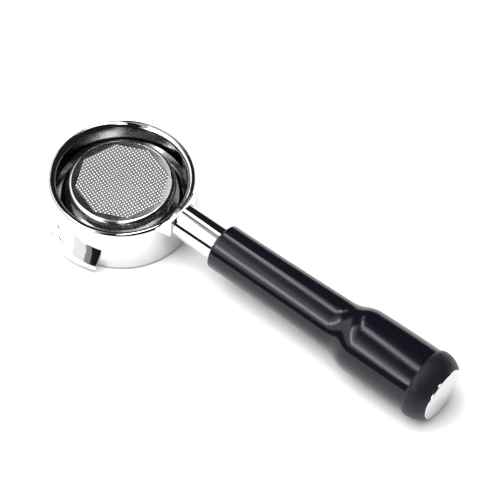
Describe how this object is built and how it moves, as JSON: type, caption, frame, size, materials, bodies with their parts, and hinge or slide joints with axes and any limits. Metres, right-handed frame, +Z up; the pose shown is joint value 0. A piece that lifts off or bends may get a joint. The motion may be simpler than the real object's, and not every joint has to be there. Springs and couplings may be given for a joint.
{
  "type": "portafilter",
  "caption": "Open-bottom espresso filter holder with a perforated basket, bayonet lugs, a chromed neck and a waisted black handle with a domed end disc.",
  "frame": {"origin": "centre of the basket's mouth on the ring's axis, on the plane that the basket's flange lies on", "axes": "+X along the handle towards its end disc; +Z up, out of the ring's open side; +Y completes the frame, through one bayonet lug"},
  "size_m": [0.2334, 0.0834, 0.0363],
  "materials": {
    "body_chrome": "polished chrome outside, satin inside",
    "basket_steel": "satin stainless steel",
    "ferrule_chrome": "polished chrome",
    "cap_chrome": "polished chrome",
    "hardware_steel": "plain machined steel",
    "bush_brass": "machined brass",
    "grip_black": "smooth glossy black resin",
    "end_ring_black": "satin black",
    "washer_black": "matt black fibre",
    "seal_rubber": "black rubber"
  },
  "bodies": {
    "holder": {"filter_holder_body": "body_chrome", "basket_spring": "hardware_steel", "neck_ferrule": "ferrule_chrome", "locating_pin": "hardware_steel", "ferrule_washer": "washer_black", "handle_stud": "hardware_steel", "handle_grip": "grip_black", "grip_front_bush": "bush_brass", "clamp_washer": "hardware_steel", "spring_washer": "hardware_steel", "clamp_nut": "hardware_steel", "handle_end_ring": "end_ring_black", "end_ring_screw": "hardware_steel", "end_cap": "cap_chrome", "cap_o_ring": "seal_rubber"},
    "basket": {"filter_basket": "basket_steel"}
  },
  "joints": [
    {"name": "basket", "type": "slide", "parent": "holder", "child": "basket", "axis": [0, 0, -1], "range_m": [0, 0.03]}
  ]
}
